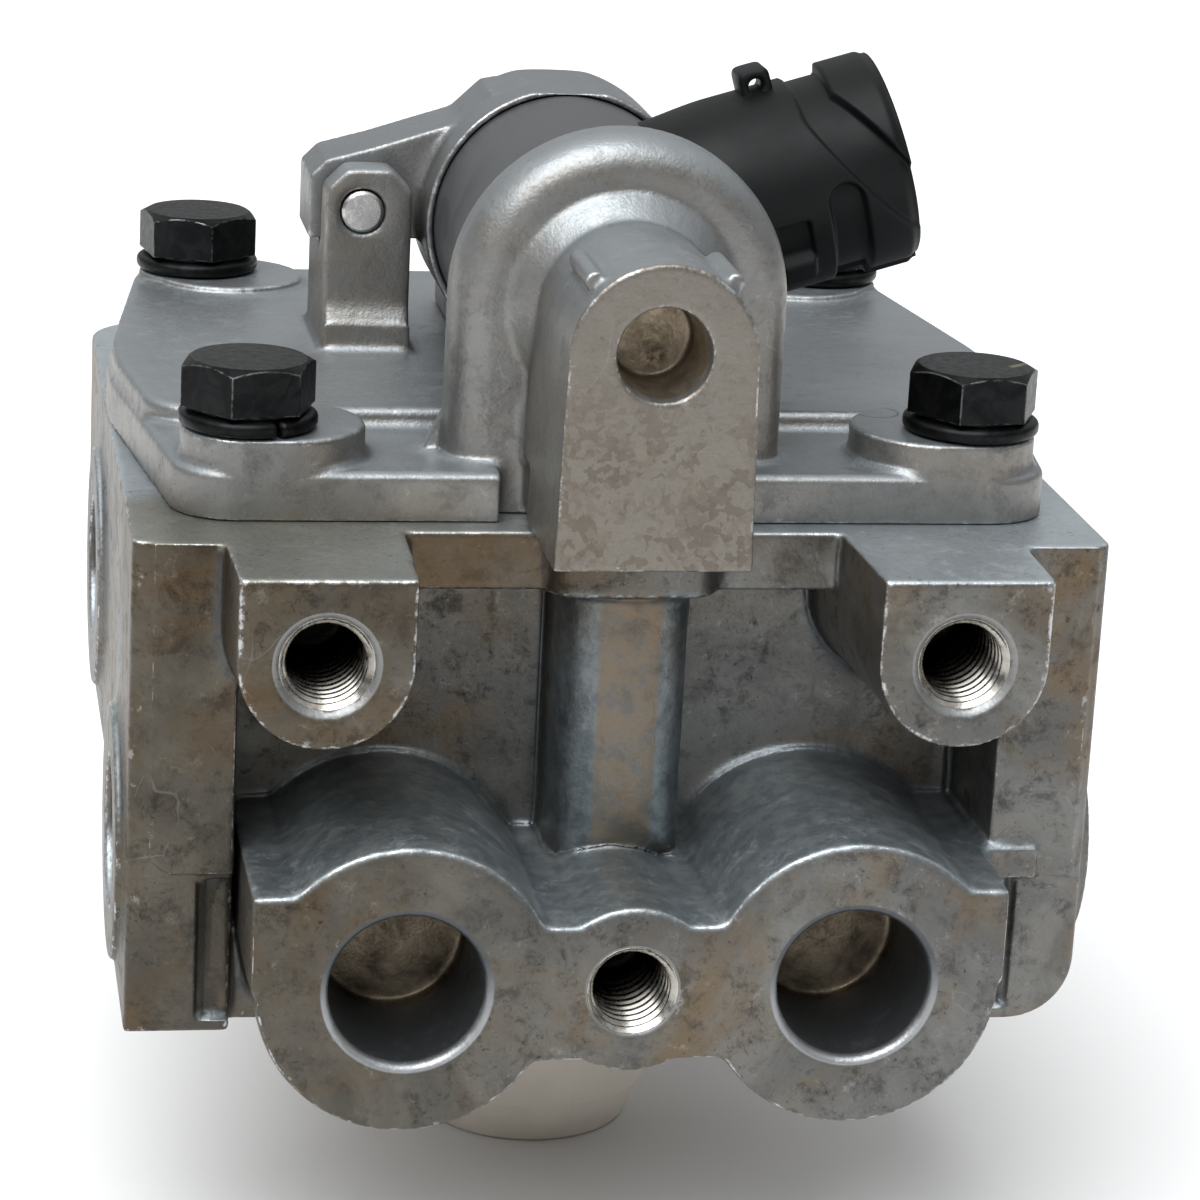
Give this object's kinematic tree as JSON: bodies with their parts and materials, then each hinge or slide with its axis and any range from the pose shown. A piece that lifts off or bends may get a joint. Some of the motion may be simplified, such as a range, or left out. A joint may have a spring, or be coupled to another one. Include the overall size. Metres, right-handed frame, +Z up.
{
  "type": "brake relay valve",
  "caption": "Electro-pneumatic relay valve: cast body with threaded air ports, bolted cover, solenoid with plug socket, relay piston, inlet valve and exhaust silencer.",
  "frame": {"origin": "centre of the exhaust mouth, which the valve stands on", "axes": "+Z up along the valve's main axis, from the exhaust to the solenoid; -Y is the face with the two big ports; +X is the side that the plug socket leans to"},
  "size_m": [0.1328, 0.1463, 0.1641],
  "materials": {
    "body_casting": "cast, bead blasted, oil stained",
    "cover_casting": "die cast",
    "cap_casting": "die cast",
    "bright_steel": "ground or drawn steel",
    "solenoid_steel": "dark grey satin coat",
    "core_iron": "turned soft iron",
    "bobbin_plastic": "moulded",
    "copper_winding": "enamelled copper wire",
    "brass_parts": "turned brass",
    "connector_plastic": "moulded, satin",
    "black_oxide": "black oxide, edges worn bright",
    "plated_steel": "zinc plated",
    "piston_alloy": "turned",
    "valve_alloy": "turned",
    "seal_rubber": "moulded rubber",
    "silencer_plastic": "moulded, greyed",
    "knitted_wire": "knitted wire pack"
  },
  "bodies": {
    "housing": {"lower_body": "body_casting", "top_cover": "cover_casting", "rear_cap": "cap_casting", "locating_pin": "bright_steel", "solenoid_shell": "solenoid_steel", "coil_bobbin": "bobbin_plastic", "coil_winding": "copper_winding", "pole_core": "core_iron", "armature_spring": "bright_steel", "pilot_nozzle": "brass_parts", "solenoid_seal": "seal_rubber", "connector_socket": "connector_plastic", "contact_pin_1": "brass_parts", "contact_pin_2": "brass_parts", "contact_pin_3": "brass_parts", "contact_pin_4": "brass_parts", "spring_washer_1": "black_oxide", "spring_washer_2": "black_oxide", "spring_washer_3": "black_oxide", "spring_washer_4": "black_oxide", "cover_bolt_1": "black_oxide", "cover_bolt_2": "black_oxide", "cover_bolt_3": "black_oxide", "cover_bolt_4": "black_oxide", "cap_screw_1": "plated_steel", "cap_screw_2": "plated_steel", "piston_spring": "bright_steel", "valve_spring": "bright_steel", "valve_guide": "valve_alloy", "guide_seal": "seal_rubber", "stem_seal": "seal_rubber", "snap_ring": "bright_steel", "cover_seal": "seal_rubber", "silencer_housing": "silencer_plastic", "silencer_pack": "knitted_wire"},
    "relay_piston": {"relay_piston": "piston_alloy", "piston_seal": "seal_rubber"},
    "inlet_valve": {"inlet_valve": "valve_alloy", "valve_rubber": "seal_rubber"},
    "armature": {"armature": "core_iron"}
  },
  "joints": [
    {"name": "relay_piston_travel", "type": "slide", "parent": "housing", "child": "relay_piston", "axis": [0, 0, -1], "range_m": [0, 0.0032], "stiffness_N_per_m": 2000, "springref_m": -0.004, "deforming": ["piston_spring"]},
    {"name": "inlet_valve_travel", "type": "slide", "parent": "housing", "child": "inlet_valve", "axis": [0, 0, -1], "range_m": [0, 0.0021], "stiffness_N_per_m": 1500, "springref_m": -0.004, "deforming": ["valve_spring"]},
    {"name": "armature_travel", "type": "slide", "parent": "housing", "child": "armature", "axis": [0, 1, 0], "range_m": [0, 0.0018], "stiffness_N_per_m": 400, "springref_m": -0.002, "deforming": ["armature_spring"]}
  ],
  "couplings": [
    {"joint": "inlet_valve_travel", "follows": "relay_piston_travel", "ratio": 0.65625}
  ]
}
